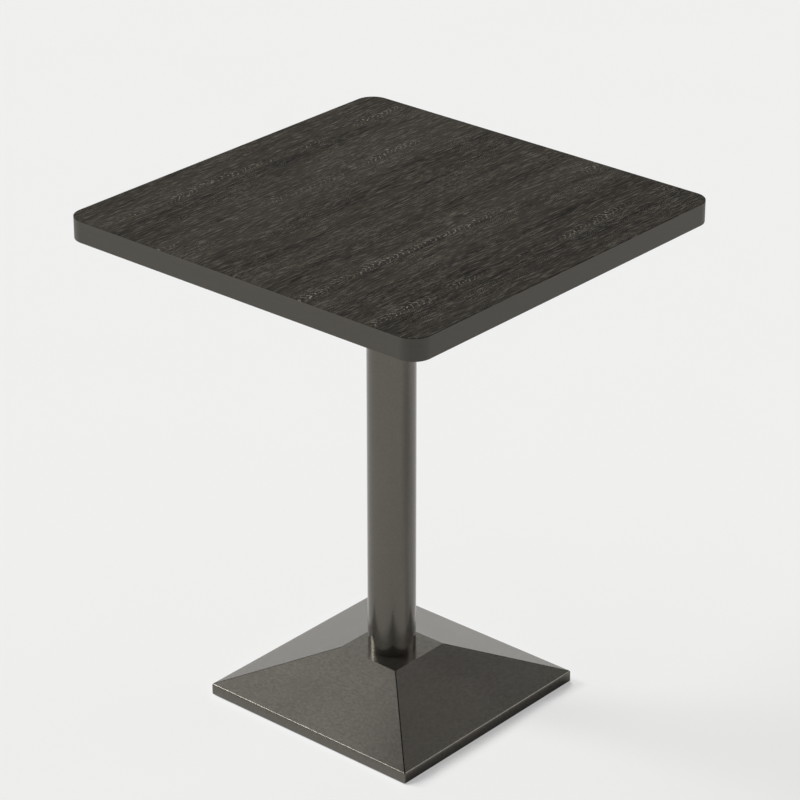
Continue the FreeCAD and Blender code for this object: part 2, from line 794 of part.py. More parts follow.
def make_feet(doc):
    """Four feet near the corners of the base, numbered round from -X -Y."""
    parts = []
    corners = (("-", "-"), ("", "-"), ("", ""), ("-", ""))
    for number, (side_x, side_y) in enumerate(corners, start=1):
        pad_piece = make_foot_pad(doc, f"foot_pad_{number}")
        pieces = [pad_piece, make_foot_stud(doc, f"foot_stud_{number}")]
        for piece in pieces:
            piece.setExpression("Placement.Base.x", f"{side_x}dims.foot_spacing / 2")
            piece.setExpression("Placement.Base.y", f"{side_y}dims.foot_spacing / 2")
        parts += pieces
    doc.recompute()
    return parts


# ---------------------------------------------------------------- all of it
def make_table(doc):
    parts = [make_top_laminate(doc), make_top_core(doc), make_top_backer(doc), make_edge_band(doc)]
    parts.append(make_top_spider(doc))
    parts += make_spider_fixings(doc)
    parts += make_column(doc)
    parts.append(make_tie_rod(doc))
    parts += make_rod_fixings(doc)
    parts += [make_base_cover(doc), make_ballast_casting(doc), make_cover_pads(doc)]
    parts += make_feet(doc)
    return parts


def check(doc, parts):
    """Stops if any object failed, or a part's shape isn't sound."""
    for item in doc.Objects:
        if "Invalid" in item.State or "Error" in item.State:
            raise ValueError(f"{item.Name} failed: {item.State}")
    for item in parts:
        if item.Shape.isNull() or not item.Shape.isValid() or not item.Shape.Solids:
            raise ValueError(f"{item.Label} has no sound shape")


def write(parts):
    os.makedirs("parts", exist_ok=True)
    for item in parts:
        item.Shape.exportStep(f"parts/{item.Label}.step")
        box = item.Shape.BoundBox
        print(f"{item.Label}: {len(item.Shape.Solids)} solid(s), {item.Shape.Volume / 1000:.2f} cm3, "
              f"z {box.ZMin:.2f} to {box.ZMax:.2f}")


document = new_document()
table_parts = make_table(document)
document.recompute()
check(document, table_parts)
write(table_parts)
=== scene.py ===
"""Finish, light and camera for the square pedestal cafe table. Metres, in the table's own frame."""
import math

import bmesh
import bpy
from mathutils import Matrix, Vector


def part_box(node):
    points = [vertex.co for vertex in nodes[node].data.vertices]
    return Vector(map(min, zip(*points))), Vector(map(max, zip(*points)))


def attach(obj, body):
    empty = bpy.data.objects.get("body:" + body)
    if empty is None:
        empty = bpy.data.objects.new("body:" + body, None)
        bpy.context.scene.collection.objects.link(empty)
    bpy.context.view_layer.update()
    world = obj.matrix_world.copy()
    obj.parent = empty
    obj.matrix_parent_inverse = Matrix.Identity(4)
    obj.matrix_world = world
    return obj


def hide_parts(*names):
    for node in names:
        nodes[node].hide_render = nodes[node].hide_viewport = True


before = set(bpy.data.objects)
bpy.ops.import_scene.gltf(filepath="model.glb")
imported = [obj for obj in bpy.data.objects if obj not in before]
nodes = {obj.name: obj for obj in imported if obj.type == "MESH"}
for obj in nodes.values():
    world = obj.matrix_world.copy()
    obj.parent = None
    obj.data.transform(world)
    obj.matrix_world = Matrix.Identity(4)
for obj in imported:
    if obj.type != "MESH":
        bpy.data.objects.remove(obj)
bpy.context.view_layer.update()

MM = 0.001
MIX_A, MIX_B, MIXED = 6, 7, 2     # the colour sockets of a Mix node
TOP_CORNER = 27.5                 # the radius of the top's corners, in mm
PLATE = 2.0                       # the steel of the column and of the base cover, in mm
KEY_SIDE = (-0.906, -0.423)       # the level direction towards the key light


# ---------------------------------------------------------------- colours and nodes
def linear(hex_colour):
    """An sRGB hex colour as linear light."""
    levels = [int(hex_colour[i:i + 2], 16) / 255 for i in (1, 3, 5)]
    return (*[v / 12.92 if v <= 0.04045 else ((v + 0.055) / 1.055) ** 2.4 for v in levels], 1.0)


def add(tree, kind, inputs=None, **settings):
    """Adds a node with its settings. An input is a value, or another node's output socket."""
    made = tree.nodes.new(kind)
    for name, value in settings.items():
        setattr(made, name, value)
    for name, value in (inputs or {}).items():
        if isinstance(value, bpy.types.NodeSocket):
            tree.links.new(value, made.inputs[name])
        else:
            made.inputs[name].default_value = value
    return made


def new_material(name):
    """An empty material, its node tree, and the piece's own coordinates in metres."""
    made = bpy.data.materials.new(name)
    made.use_nodes = True
    tree = made.node_tree
    tree.nodes.clear()
    return made, tree, add(tree, "ShaderNodeTexCoord").outputs["Object"]


def per_mm(*sizes):
    """The scale that gives a pattern these sizes in mm."""
    return tuple(1 / (size * MM) for size in sizes)


def dress(obj, finish):
    """Gives a piece one finish all over."""
    obj.data.materials.clear()
    obj.data.materials.append(finish)


# ---------------------------------------------------------------- finishes
def oak_laminate():
    """Dark stained oak decor under matt melamine, pressed with the relief of its own grain.

    Soft streaks and finer, shorter fibres run along Y, with pale flecks among them. Where the saw cut across
    the rings, short pale ticks climb in narrow columns; between the columns the rings show as a faint broken
    hatch. The face is nearly without gloss. The pores and fibres are drawn some four times as wide as real
    ones, to show at all.
    """
    made, tree, place = new_material("oak_laminate_matt")
    axes = add(tree, "ShaderNodeSeparateXYZ", {"Vector": place})
    # painted light: the top starts a little paler towards -X, where the light falls on it more brightly
    grain_and_painted_light = add(tree, "ShaderNodeMath", {0: axes.outputs["X"], 1: -0.09, 2: 0.009},
               operation="MULTIPLY_ADD").outputs["Value"]
    # boards, bands, streaks, fibres and pores: width and length in mm, and share of the tone
    for wide, long, share in (
            (46, 900, 0.22), (13, 420, 0.16), (3.2, 160, 0.16), (2.1, 75, 0.28), (1.6, 24, 0.22)):
        stretched = add(tree, "ShaderNodeMapping", {"Vector": place, "Scale": per_mm(wide, long, 1000)})
        streak = add(tree, "ShaderNodeTexNoise", {
            "Vector": stretched.outputs["Vector"], "Scale": 1.0, "Detail": 2.0})
        grain_and_painted_light = add(tree, "ShaderNodeMath", {0: streak.outputs["Fac"], 1: share, 2: grain_and_painted_light},
                   operation="MULTIPLY_ADD").outputs["Value"]
    # the distance to the nearest column of ticks, in metres, bent a little along the board
    drift = add(tree, "ShaderNodeMapping", {"Vector": place, "Scale": per_mm(150, 60, 1000)})
    bend = add(tree, "ShaderNodeTexNoise", {"Vector": drift.outputs["Vector"], "Scale": 1.0, "Detail": 2.0})
    across = add(tree, "ShaderNodeMath", {0: bend.outputs["Fac"], 1: 0.024, 2: axes.outputs["X"]},
                 operation="MULTIPLY_ADD").outputs["Value"]
    nearest = 1.0
    for column in (-0.228, -0.120, 0.127, 0.242):
        reach = add(tree, "ShaderNodeMath", {0: across, 1: column}, operation="SUBTRACT").outputs["Value"]
        span = add(tree, "ShaderNodeMath", {0: reach}, operation="ABSOLUTE").outputs["Value"]
        nearest = add(tree, "ShaderNodeMath", {0: nearest, 1: span, 2: 0.004},
                      operation="SMOOTH_MIN").outputs["Value"]
    # pores break the rings up, and the rings show in some patches of the board more than in others
    pore_place = add(tree, "ShaderNodeMapping", {"Vector": place, "Scale": per_mm(1.5, 7, 1000)})
    pores = add(tree, "ShaderNodeTexNoise", {
        "Vector": pore_place.outputs["Vector"], "Scale": 1.0, "Detail": 1.0})
    broken = add(tree, "ShaderNodeMapRange", {
        "Value": pores.outputs["Fac"], "From Min": 0.45, "From Max": 0.60})
    patch_place = add(tree, "ShaderNodeMapping", {"Vector": place, "Scale": per_mm(40, 90, 1000)})
    patch = add(tree, "ShaderNodeTexNoise", {"Vector": patch_place.outputs["Vector"], "Scale": 1.0})
    shown = add(tree, "ShaderNodeMapRange", {
        "Value": patch.outputs["Fac"], "From Min": 0.40, "From Max": 0.62, "To Min": 0.1, "To Max": 1.0})
    fleck_place = add(tree, "ShaderNodeMapping", {"Vector": place, "Scale": per_mm(1.7, 20, 1000)})
    fleck = add(tree, "ShaderNodeTexNoise", {
        "Vector": fleck_place.outputs["Vector"], "Scale": 1.0, "Detail": 1.0})
    pale = add(tree, "ShaderNodeMapRange", {
        "Value": fleck.outputs["Fac"], "From Min": 0.54, "From Max": 0.80, "To Max": 0.32}).outputs["Result"]
    wander = add(tree, "ShaderNodeTexNoise", {"Vector": place, "Scale": 1 / (9 * MM), "Detail": 3.0})
    strayed = add(tree, "ShaderNodeMath", {0: wander.outputs["Fac"], 1: 1.8}, operation="MULTIPLY")
    # the ticks in the columns, then the hatch between them: the rings' pitch along the board in mm, how many
    # lie in a metre across it, the level of the wave above which one shows, the two distances from a column
    # in metres between which it fades, and its strength at the column and away from it
    for pitch, slope, thin, near, far, at_column, between in (
            (9.0, 110.0, 0.62, 0.004, 0.011, 1.0, 0.0), (8.0, 330.0, 0.20, 0.004, 0.012, 0.0, 0.26)):
        slant = add(tree, "ShaderNodeMath", {0: nearest, 1: slope, 2: strayed.outputs["Value"]},
                    operation="MULTIPLY_ADD").outputs["Value"]
        climb = add(tree, "ShaderNodeMath", {0: axes.outputs["Y"], 1: 1 / (pitch * MM), 2: slant},
                    operation="MULTIPLY_ADD").outputs["Value"]
        turn = add(tree, "ShaderNodeMath", {0: climb, 1: math.tau}, operation="MULTIPLY").outputs["Value"]
        wave = add(tree, "ShaderNodeMath", {0: turn}, operation="SINE").outputs["Value"]
        crest = add(tree, "ShaderNodeMapRange", {"Value": wave, "From Min": thin, "From Max": 1.0},
                    interpolation_type="SMOOTHSTEP").outputs["Result"]
        fade = add(tree, "ShaderNodeMapRange", {
            "Value": nearest, "From Min": near, "From Max": far, "To Min": at_column, "To Max": between})
        for part in (broken, fade, shown):
            crest = add(tree, "ShaderNodeMath", {0: crest, 1: part.outputs["Result"]},
                        operation="MULTIPLY").outputs["Value"]
        pale = add(tree, "ShaderNodeMath", {0: pale, 1: crest}, operation="ADD").outputs["Value"]
    # the stain follows the grain and the painted light towards -X
    board = add(tree, "ShaderNodeMapRange", {"Value": grain_and_painted_light, "From Min": 0.42, "From Max": 0.58})
    stain = add(tree, "ShaderNodeMix", {
        0: board.outputs["Result"], MIX_A: linear("#12110f"), MIX_B: linear("#37332d")}, data_type="RGBA")
    printed = add(tree, "ShaderNodeMix", {
        0: pale, MIX_A: stain.outputs[MIXED], MIX_B: linear("#8e897f")}, data_type="RGBA")
    relief = add(tree, "ShaderNodeMath", {0: pale, 1: 0.4, 2: grain_and_painted_light},
                 operation="MULTIPLY_ADD").outputs["Value"]
    emboss = add(tree, "ShaderNodeBump", {"Height": relief, "Distance": 0.2 * MM, "Strength": 0.5})
    gloss = add(tree, "ShaderNodeMapRange", {"Value": grain_and_painted_light, "To Min": 0.92, "To Max": 0.72})
    shade = add(tree, "ShaderNodeBsdfPrincipled", {
        "Base Color": printed.outputs[MIXED], "Roughness": gloss.outputs["Result"], "IOR": 1.46,
        "Specular IOR Level": 0.1, "Normal": emboss.outputs["Normal"]})
    add(tree, "ShaderNodeOutputMaterial", {"Surface": shade.outputs["BSDF"]})
    return made


def powder_coat(name, along, up, depth, gloss, cloud_and_painted_sheen_amount):
    """Satin powder coat with fine metal in it, sprayed dry on steel and baked.

    It mirrors the room softly and darkly. It flows out into an orange peel, drawn at twice its real size,
    to show at all. Its colour is painted a little paler on the peel's crests, a painted sheen standing in for
    the light that the relief catches, with random cloudy patches mixed in. The peel is given by its sizes
    along and up the steel and its depth, in mm. The roughness is gloss, and cloud_and_painted_sheen_amount is
    how far the colour follows the peel and the cloud.
    """
    made, tree, place = new_material(name)
    stretched = add(tree, "ShaderNodeMapping", {"Vector": place, "Scale": per_mm(along, along, up)})
    peel = add(tree, "ShaderNodeTexNoise", {
        "Vector": stretched.outputs["Vector"], "Scale": 1.0, "Detail": 2.0, "Roughness": 0.55})
    cloud = add(tree, "ShaderNodeTexNoise", {"Vector": place, "Scale": 1 / (70 * MM), "Detail": 3.0})
    # painted sheen: the colour is made paler on the peel's crests, standing in for the light the relief
    # catches, with random cloudy patches
    cloud_and_painted_sheen = add(tree, "ShaderNodeMath", {0: cloud.outputs["Fac"], 1: 0.25, 2: peel.outputs["Fac"]},
                 operation="MULTIPLY_ADD").outputs["Value"]
    cloud_and_painted_sheen_level = add(tree, "ShaderNodeMapRange", {
        "Value": cloud_and_painted_sheen, "From Min": 0.42, "From Max": 0.82, "To Min": 0.5 - cloud_and_painted_sheen_amount / 2,
        "To Max": 0.5 + cloud_and_painted_sheen_amount / 2})
    colour = add(tree, "ShaderNodeMix", {
        0: cloud_and_painted_sheen_level.outputs["Result"], MIX_A: linear("#5c5953"), MIX_B: linear("#6e6b65")}, data_type="RGBA")
    # low down, round the base's rim, the coat runs smooth; the heights are in metres
    axes = add(tree, "ShaderNodeSeparateXYZ", {"Vector": place})
    rough = add(tree, "ShaderNodeMapRange", {
        "Value": axes.outputs["Z"], "From Min": 0.0185, "From Max": 0.022})
    height = add(tree, "ShaderNodeMath", {0: peel.outputs["Fac"], 1: rough.outputs["Result"]},
                 operation="MULTIPLY")
    bump = add(tree, "ShaderNodeBump", {
        "Height": height.outputs["Value"], "Distance": depth * MM, "Strength": 1.0})
    dry = add(tree, "ShaderNodeMapRange", {
        "Value": cloud.outputs["Fac"], "To Min": gloss - 0.03, "To Max": gloss + 0.03})
    shade = add(tree, "ShaderNodeBsdfPrincipled", {
        "Base Color": colour.outputs[MIXED], "Metallic": 0.86, "Roughness": dry.outputs["Result"],
        "Normal": bump.outputs["Normal"]})
    add(tree, "ShaderNodeOutputMaterial", {"Surface": shade.outputs["BSDF"]})
    return made


def edge_banding():
    """Extruded ABS edging in the frame's colour: a dull, finely pebbled skin with faint draw lines along it.

    The pebbles and lines are drawn some three times as large as real ones, to show at all.
    """
    made, tree, place = new_material("abs_edge_banding")
    drawn = add(tree, "ShaderNodeMapping", {"Vector": place, "Scale": per_mm(120, 120, 1.4)})
    lines = add(tree, "ShaderNodeTexNoise", {"Vector": drawn.outputs["Vector"], "Scale": 1.0, "Detail": 2.0})
    pebble = add(tree, "ShaderNodeTexNoise", {"Vector": place, "Scale": 1 / (0.9 * MM), "Detail": 1.0})
    skin = add(tree, "ShaderNodeMath", {0: lines.outputs["Fac"], 1: 0.5, 2: pebble.outputs["Fac"]},
               operation="MULTIPLY_ADD").outputs["Value"]
    tint = add(tree, "ShaderNodeMapRange", {"Value": skin, "From Min": 0.5, "From Max": 1.0})
    colour = add(tree, "ShaderNodeMix", {
        0: tint.outputs["Result"], MIX_A: linear("#3a3730"), MIX_B: linear("#423e35")}, data_type="RGBA")
    bump = add(tree, "ShaderNodeBump", {"Height": skin, "Distance": 0.04 * MM, "Strength": 0.8})
    gloss = add(tree, "ShaderNodeMapRange", {"Value": skin, "To Min": 0.42, "To Max": 0.54})
    shade = add(tree, "ShaderNodeBsdfPrincipled", {
        "Base Color": colour.outputs[MIXED], "Roughness": gloss.outputs["Result"], "IOR": 1.54,
        "Normal": bump.outputs["Normal"]})
    add(tree, "ShaderNodeOutputMaterial", {"Surface": shade.outputs["BSDF"]})
    return made


def cast_iron():
    """Sand-cast iron under thin black paint: a coarse sandy skin, a few pits, greyer where paint is thin."""
    made, tree, place = new_material("painted_cast_iron")
    sand = add(tree, "ShaderNodeTexNoise", {"Vector": place, "Scale": 1 / (1.6 * MM), "Detail": 3.0})
    sag = add(tree, "ShaderNodeTexNoise", {"Vector": place, "Scale": 1 / (26 * MM), "Detail": 2.0})
    pits = add(tree, "ShaderNodeTexVoronoi", {"Vector": place, "Scale": 1 / (7 * MM)}, feature="F1")
    pit = add(tree, "ShaderNodeMapRange", {
        "Value": pits.outputs["Distance"], "From Min": 0.02, "From Max": 0.16})
    skin = add(tree, "ShaderNodeMath", {0: sag.outputs["Fac"], 1: 1.6, 2: sand.outputs["Fac"]},
               operation="MULTIPLY_ADD").outputs["Value"]
    height = add(tree, "ShaderNodeMath", {0: pit.outputs["Result"], 1: 0.5, 2: skin},
                 operation="MULTIPLY_ADD").outputs["Value"]
    thin = add(tree, "ShaderNodeMapRange", {"Value": skin, "From Min": 1.1, "From Max": 1.6})
    colour = add(tree, "ShaderNodeMix", {
        0: thin.outputs["Result"], MIX_A: linear("#1c1b1a"), MIX_B: linear("#33312e")}, data_type="RGBA")
    bump = add(tree, "ShaderNodeBump", {"Height": height, "Distance": 0.3 * MM, "Strength": 0.8})
    gloss = add(tree, "ShaderNodeMapRange", {"Value": sand.outputs["Fac"], "To Min": 0.4, "To Max": 0.66})
    shade = add(tree, "ShaderNodeBsdfPrincipled", {
        "Base Color": colour.outputs[MIXED], "Roughness": gloss.outputs["Result"], "IOR": 1.5,
        "Normal": bump.outputs["Normal"]})
    add(tree, "ShaderNodeOutputMaterial", {"Surface": shade.outputs["BSDF"]})
    return made


def zinc_plate():
    """Turned steel, zinc plated and passivated: pale blue to straw, faintly cloudy, with fine tool lines."""
    made, tree, place = new_material("zinc_plated_steel")
    cloud = add(tree, "ShaderNodeTexNoise", {"Vector": place, "Scale": 1 / (6 * MM), "Detail": 3.0})
    turned = add(tree, "ShaderNodeMapping", {"Vector": place, "Scale": per_mm(9, 9, 0.35)})
    lines = add(tree, "ShaderNodeTexNoise", {
        "Vector": turned.outputs["Vector"], "Scale": 1.0, "Detail": 1.0})
    tint = add(tree, "ShaderNodeMapRange", {
        "Value": cloud.outputs["Fac"], "From Min": 0.35, "From Max": 0.65})
    colour = add(tree, "ShaderNodeMix", {
        0: tint.outputs["Result"], MIX_A: linear("#aab0b8"), MIX_B: linear("#bcb8a6")}, data_type="RGBA")
    bump = add(tree, "ShaderNodeBump", {
        "Height": lines.outputs["Fac"], "Distance": 0.03 * MM, "Strength": 0.6})
    gloss = add(tree, "ShaderNodeMapRange", {"Value": cloud.outputs["Fac"], "To Min": 0.24, "To Max": 0.44})
    shade = add(tree, "ShaderNodeBsdfPrincipled", {
        "Base Color": colour.outputs[MIXED], "Metallic": 1.0, "Roughness": gloss.outputs["Result"],
        "Normal": bump.outputs["Normal"]})
    add(tree, "ShaderNodeOutputMaterial", {"Surface": shade.outputs["BSDF"]})
    return made


def chipboard():
    """Pressed chipboard: flat pale chips of many browns, rough where it is cut."""
    made, tree, place = new_material("pressed_chipboard")
    flat = add(tree, "ShaderNodeMapping", {"Vector": place, "Scale": per_mm(6, 4, 1.2)})
    chips = add(tree, "ShaderNodeTexVoronoi", {"Vector": flat.outputs["Vector"], "Scale": 1.0})
    chance = add(tree, "ShaderNodeSeparateXYZ", {"Vector": chips.outputs["Color"]})
    colour = add(tree, "ShaderNodeMix", {
        0: chance.outputs["X"], MIX_A: linear("#8a6a45"), MIX_B: linear("#c9a978")}, data_type="RGBA")
    bump = add(tree, "ShaderNodeBump", {
        "Height": chips.outputs["Distance"], "Distance": 0.4 * MM, "Strength": 0.7})
    gloss = add(tree, "ShaderNodeMapRange", {"Value": chance.outputs["Y"], "To Min": 0.75, "To Max": 0.95})
    shade = add(tree, "ShaderNodeBsdfPrincipled", {
        "Base Color": colour.outputs[MIXED], "Roughness": gloss.outputs["Result"], "IOR": 1.45,
        "Normal": bump.outputs["Normal"]})
    add(tree, "ShaderNodeOutputMaterial", {"Surface": shade.outputs["BSDF"]})
    return made


def balancing_sheet():
    """Phenolic balancing laminate: dull brown-black paper, sanded one way, with cloudy resin."""
    made, tree, place = new_material("phenolic_balancing_sheet")
    sanded = add(tree, "ShaderNodeMapping", {"Vector": place, "Scale": per_mm(1.6, 60, 1000)})
    scratch = add(tree, "ShaderNodeTexNoise", {
        "Vector": sanded.outputs["Vector"], "Scale": 1.0, "Detail": 2.0})
    resin = add(tree, "ShaderNodeTexNoise", {"Vector": place, "Scale": 1 / (45 * MM), "Detail": 4.0})
    both = add(tree, "ShaderNodeMath", {0: scratch.outputs["Fac"], 1: 0.5, 2: resin.outputs["Fac"]},
               operation="MULTIPLY_ADD").outputs["Value"]
    tint = add(tree, "ShaderNodeMapRange", {"Value": both, "From Min": 0.5, "From Max": 1.0})
    colour = add(tree, "ShaderNodeMix", {
        0: tint.outputs["Result"], MIX_A: linear("#2b2622"), MIX_B: linear("#463d35")}, data_type="RGBA")
    bump = add(tree, "ShaderNodeBump", {
        "Height": scratch.outputs["Fac"], "Distance": 0.05 * MM, "Strength": 0.8})
    gloss = add(tree, "ShaderNodeMapRange", {"Value": resin.outputs["Fac"], "To Min": 0.5, "To Max": 0.7})
    shade = add(tree, "ShaderNodeBsdfPrincipled", {
        "Base Color": colour.outputs[MIXED], "Roughness": gloss.outputs["Result"], "IOR": 1.5,
        "Normal": bump.outputs["Normal"]})
    add(tree, "ShaderNodeOutputMaterial", {"Surface": shade.outputs["BSDF"]})
    return made


def moulded(name, dark, pale, grain, low_gloss, high_gloss, index):
    """Moulded black plastic or rubber: a spark-eroded mould leaves a fine even grain. Dust lies in it."""
    made, tree, place = new_material(name)
    pebble = add(tree, "ShaderNodeTexVoronoi", {"Vector": place, "Scale": 1 / (grain * MM)},
                 feature="SMOOTH_F1")
    dust = add(tree, "ShaderNodeTexNoise", {"Vector": place, "Scale": 1 / (8 * MM), "Detail": 3.0})
    dusty = add(tree, "ShaderNodeMapRange", {
        "Value": dust.outputs["Fac"], "From Min": 0.4, "From Max": 0.75})
    colour = add(tree, "ShaderNodeMix", {
        0: dusty.outputs["Result"], MIX_A: linear(dark), MIX_B: linear(pale)}, data_type="RGBA")
    bump = add(tree, "ShaderNodeBump", {
        "Height": pebble.outputs["Distance"], "Distance": 0.05 * MM, "Strength": 0.7})
    gloss = add(tree, "ShaderNodeMapRange", {
        "Value": dust.outputs["Fac"], "To Min": low_gloss, "To Max": high_gloss})
    shade = add(tree, "ShaderNodeBsdfPrincipled", {
        "Base Color": colour.outputs[MIXED], "Roughness": gloss.outputs["Result"], "IOR": index,
        "Normal": bump.outputs["Normal"]})
    add(tree, "ShaderNodeOutputMaterial", {"Surface": shade.outputs["BSDF"]})
    return made


def floor_paper():
    """Seamless matt paper, lit by the key and the room. Seen directly it also glows, though it is no lamp, so
    that shadows on it stay faint.

    Close to a piece the glow is painted brighter, to fill the shade that the piece casts. On the side away
    from the key light a narrow shadow is painted in, deep and crisp, where the paper is shut in towards the
    key. Reflections and bounced light meet white paper that gets the painted fill glow and the painted shadow
    only close to a piece.
    """
    made, tree, place = new_material("paper_with_painted_glow_and_shadow")
    cloud = add(tree, "ShaderNodeTexNoise", {"Vector": place, "Scale": 1 / (300 * MM), "Detail": 2.0})
    # how open the paper is close by towards the key, which sets the painted shadow, and how open it is to the
    # whole room, which sets the painted fill glow
    upright = add(tree, "ShaderNodeNewGeometry").outputs["Normal"]
    lean = 1.48
    leant = add(tree, "ShaderNodeVectorMath", {0: upright, 1: (lean * KEY_SIDE[0], lean * KEY_SIDE[1], 0.0)},
                operation="ADD")
    to_key = add(tree, "ShaderNodeVectorMath", {0: leant.outputs["Vector"]}, operation="NORMALIZE")
    keyed = add(tree, "ShaderNodeAmbientOcclusion", {
        "Normal": to_key.outputs["Vector"], "Distance": 40 * MM}, samples=16)
    roomy = add(tree, "ShaderNodeAmbientOcclusion", {"Distance": 250 * MM}, samples=4)
    # the paper in reflections and bounced light, then seen directly: its two colours, its glow, the painted
    # fill glow added where it isn't open, the openness at which the painted shadow ends, and the light left
    # in its darkest part
    sides = []
    for low, high, glow, painted_fill_glow, clear, light_left_in_painted_shadow in (
            ("#edeceb", "#efefed", 0.0, 0.8, 0.9, 0.15), ("#8e8e8d", "#90908f", 0.588, 0.25, 0.72, 0.53)):
        # painted shadow: where the paper is shut in towards the key, its colour and glow are darkened into a
        # narrow crisp shadow
        beside = add(tree, "ShaderNodeMapRange", {
            "Value": keyed.outputs["AO"], "From Min": 0.50, "From Max": clear, "To Min": light_left_in_painted_shadow,
            "To Max": 1.0}, interpolation_type="SMOOTHSTEP").outputs["Result"]
        colour = add(tree, "ShaderNodeMix", {
            0: cloud.outputs["Fac"], MIX_A: linear(low), MIX_B: linear(high)}, data_type="RGBA")
        colour_with_painted_shadow = add(tree, "ShaderNodeVectorMath", {0: colour.outputs[MIXED], "Scale": beside},
                     operation="SCALE")
        paper = add(tree, "ShaderNodeBsdfDiffuse", {"Color": colour_with_painted_shadow.outputs["Vector"]})
        # painted fill: the glow is raised where the paper is shut in from the room, to fill the shade the
        # pieces cast
        level = add(tree, "ShaderNodeMapRange", {
            "Value": roomy.outputs["AO"], "To Min": glow + painted_fill_glow, "To Max": glow})
        painted_glow_strength = add(tree, "ShaderNodeMath", {0: level.outputs["Result"], 1: beside}, operation="MULTIPLY")
        # the paper glows though it is no lamp; its glow carries the painted fill and the painted shadow
        lamp = add(tree, "ShaderNodeEmission", {
            "Color": (1.0, 1.0, 0.998, 1.0), "Strength": painted_glow_strength.outputs["Value"]})
        sides.append(add(tree, "ShaderNodeAddShader", {
            0: paper.outputs["BSDF"], 1: lamp.outputs["Emission"]}))
    direct = add(tree, "ShaderNodeLightPath")
    seen = add(tree, "ShaderNodeMixShader", {
        0: direct.outputs["Is Camera Ray"], 1: sides[0].outputs["Shader"], 2: sides[1].outputs["Shader"]})
    add(tree, "ShaderNodeOutputMaterial", {"Surface": seen.outputs["Shader"]})
    return made


# ---------------------------------------------------------------- shapes, in mm
def round_loop(radius, height, steps=48):
    """A level circle."""
    turns = [math.tau * k / steps for k in range(steps)]
    return [(radius * math.cos(a), radius * math.sin(a), height) for a in turns]


def square_loop(half, corner, height, steps=32):
    """A level square with round corners."""
    loop = []
    inner = half - corner
    for quarter, (side_x, side_y) in enumerate(((1, 1), (-1, 1), (-1, -1), (1, -1))):
        for k in range(steps + 1):
            a = (quarter + k / steps) * math.pi / 2
            loop.append((
                side_x * inner + corner * math.cos(a), side_y * inner + corner * math.sin(a), height))
    return loop


def hexagon_loop(width, height, steps=48):
    """A level hexagon, given by the width across its flats."""
    loop = []
    for k in range(steps):
        a = math.tau * k / steps
        off = (a + math.pi / 6) % (math.pi / 3) - math.pi / 6
        reach = width / 2 / math.cos(math.pi / 6 - abs(off))
        loop.append((reach * math.cos(a), reach * math.sin(a), height))
    return loop


def arc(middle, radius, start, end, steps):
    """Points of a round edge, as (reach, height), from one angle to another in degrees."""
    angles = [math.radians(start + (end - start) * k / steps) for k in range(steps + 1)]
    return [(middle[0] + radius * math.cos(a), middle[1] + radius * math.sin(a)) for a in angles]


def skin(loops, closed=False, low_cap=False, high_cap=False):
    """Points and faces that join each loop to the next."""
    count = len(loops[0])
    points = [point for loop in loops for point in loop]
    rows = list(range(len(loops) - 1)) + ([len(loops) - 1] if closed else [])
    faces = []
    for row in rows:
        above = (row + 1) % len(loops)
        for k in range(count):
            after = (k + 1) % count
            faces.append((row * count + k, row * count + after, above * count + after, above * count + k))
    if low_cap:
        faces.append(tuple(range(count))[::-1])
    if high_cap:
        faces.append(tuple(range(len(points) - count, len(points))))
    return points, faces


def thread_loops(radius, pitch, depth, low, high, steps=48):
    """Loops of a screw thread: a ridge that climbs one pitch in each turn, and runs out at both ends."""
    rows = round((high - low) / pitch * 8)
    loops = []
    for row in range(rows + 1):
        height = low + (high - low) * row / rows
        cut = depth * min(1, (height - low) / pitch, (high - height) / pitch)
        loop = []
        for k in range(steps):
            phase = (height / pitch - k / steps) % 1
            reach = radius - cut * min(1, max(0, 1.15 - 1.3 * abs(2 * phase - 1)))
            a = math.tau * k / steps
            loop.append((reach * math.cos(a), reach * math.sin(a), height))
        loops.append(loop)
    return loops


def moved(shape, places):
    """Copies of a shape at each place, as one shape."""
    points, faces = [], []
    for x, y in places:
        start = len(points)
        points += [(px + x, py + y, pz) for px, py, pz in shape[0]]
        faces += [tuple(start + i for i in face) for face in shape[1]]
    return points, faces


def new_piece(name, shape, finish, body, stands_for, crease=32):
    """A piece of the table, in place of its plain CAD node."""
    mesh = bpy.data.meshes.new(name)
    work = bmesh.new()
    points = [work.verts.new(Vector(point) * MM) for point in shape[0]]
    for face in shape[1]:
        work.faces.new([points[i] for i in face])
    bmesh.ops.remove_doubles(work, verts=work.verts, dist=1e-7)
    bmesh.ops.recalc_face_normals(work, faces=work.faces)
    for face in work.faces:
        face.smooth = True
    for edge in work.edges:
        edge.smooth = edge.is_boundary or edge.calc_face_angle(0) < math.radians(crease)
    work.to_mesh(mesh)
    work.free()
    piece = bpy.data.objects.new(name, mesh)
    bpy.context.scene.collection.objects.link(piece)
    piece.data.materials.append(finish)
    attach(piece, body)
    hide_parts(stands_for)
    return piece


def even_shading(piece):
    """Keeps the large flats flat beside their narrow rounded edges."""
    normals = piece.modifiers.new("even_shading", "WEIGHTED_NORMAL")
    normals.keep_sharp = True
    normals.weight = 90


# ---------------------------------------------------------------- the visible pieces
def box_mm(node):
    """A node's lowest and highest corners, in mm."""
    low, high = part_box(node)
    return [v / MM for v in low], [v / MM for v in high]


def make_laminate(finish):
    """The decor sheet, its upper edge just broken."""
    low, high = box_mm("top_laminate")
    half, broken = high[0], 0.4
    rim = [(half, low[2])] + arc((half - broken, high[2] - broken), broken, 0, 90, 4)
    loops = [square_loop(reach, TOP_CORNER - (half - reach), height) for reach, height in rim]
    even_shading(new_piece("oak_top_sheet", skin(loops, low_cap=True, high_cap=True), finish, "table",
                           "top_laminate"))


